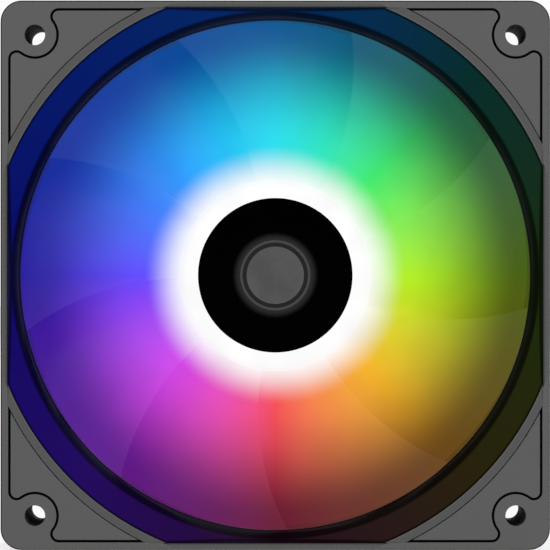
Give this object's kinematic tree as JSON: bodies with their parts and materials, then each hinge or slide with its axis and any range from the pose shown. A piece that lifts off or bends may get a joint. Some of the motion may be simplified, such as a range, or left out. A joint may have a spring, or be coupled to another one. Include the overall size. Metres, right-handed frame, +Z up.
{
  "type": "case fan",
  "caption": "Square axial cooling fan: a light-passing bladed rotor turns in a flared duct, carried by a motor on rear struts.",
  "frame": {"origin": "on the spin axis, half way between the front and rear faces: the middle of the object's box", "axes": "+Y along the spin axis with the air flow, from the open intake face to the strut side; +Z up, +X to the right seen from the front"},
  "size_m": [0.12, 0.025, 0.12],
  "materials": {
    "frame_plastic": "fine spark-eroded grey glass-filled PBT",
    "milky_polycarbonate": "milky light-passing polycarbonate, lit from the hub",
    "black_gloss": "polished black ABS",
    "grey_print": "grey satin film",
    "yoke_steel": "zinc-plated pressed steel",
    "magnet": "plastic-bonded ferrite",
    "brass": "turned brass",
    "shaft_steel": "ground and hardened steel",
    "nylon": "natural nylon",
    "bronze": "oil-soaked sintered bronze",
    "black_rubber": "black rubber",
    "lamination_steel": "stacked electrical steel sheet",
    "insulator_plastic": "natural PBT",
    "enamelled_copper": "enamelled copper wire",
    "tinned_pin": "tinned brass",
    "board_laminate": "glass laminate with green solder mask",
    "chip_epoxy": "moulded epoxy",
    "light_lens": "clear resin in a white case",
    "resistor_ceramic": "glazed ceramic chip",
    "capacitor_ceramic": "ceramic chip",
    "label_film": "plain silver polyester film"
  },
  "bodies": {
    "housing": {"frame": "frame_plastic", "motor_mount": "frame_plastic", "rear_label": "label_film", "bearing_tube": "brass", "sleeve_bearing": "bronze", "oil_seal": "nylon", "thrust_pad": "nylon", "tube_plug": "black_rubber", "stator_core": "lamination_steel", "insulator_front": "insulator_plastic", "insulator_rear": "insulator_plastic", "winding_1": "enamelled_copper", "winding_2": "enamelled_copper", "winding_3": "enamelled_copper", "winding_4": "enamelled_copper", "winding_pin_1": "tinned_pin", "winding_pin_2": "tinned_pin", "winding_pin_3": "tinned_pin", "winding_pin_4": "tinned_pin", "circuit_board": "board_laminate", "driver_chip": "chip_epoxy", "hall_sensor": "chip_epoxy", "light_1": "light_lens", "light_2": "light_lens", "light_3": "light_lens", "light_4": "light_lens", "light_5": "light_lens", "light_6": "light_lens", "light_7": "light_lens", "light_8": "light_lens", "resistor_1": "resistor_ceramic", "resistor_2": "resistor_ceramic", "resistor_3": "resistor_ceramic", "resistor_4": "resistor_ceramic", "capacitor_1": "capacitor_ceramic", "capacitor_2": "capacitor_ceramic"},
    "rotor": {"hub": "milky_polycarbonate", "blade_1": "milky_polycarbonate", "blade_2": "milky_polycarbonate", "blade_3": "milky_polycarbonate", "blade_4": "milky_polycarbonate", "blade_5": "milky_polycarbonate", "blade_6": "milky_polycarbonate", "blade_7": "milky_polycarbonate", "blade_8": "milky_polycarbonate", "blade_9": "milky_polycarbonate", "hub_cap": "black_gloss", "cap_badge": "grey_print", "rotor_yoke": "yoke_steel", "ring_magnet": "magnet", "shaft_bush": "brass", "shaft": "shaft_steel", "retaining_clip": "nylon"}
  },
  "joints": [
    {"name": "impeller_spin", "type": "hinge", "parent": "housing", "child": "rotor", "pos_m": [0, 0, 0], "axis": [0, 1, 0], "continuous": true}
  ]
}
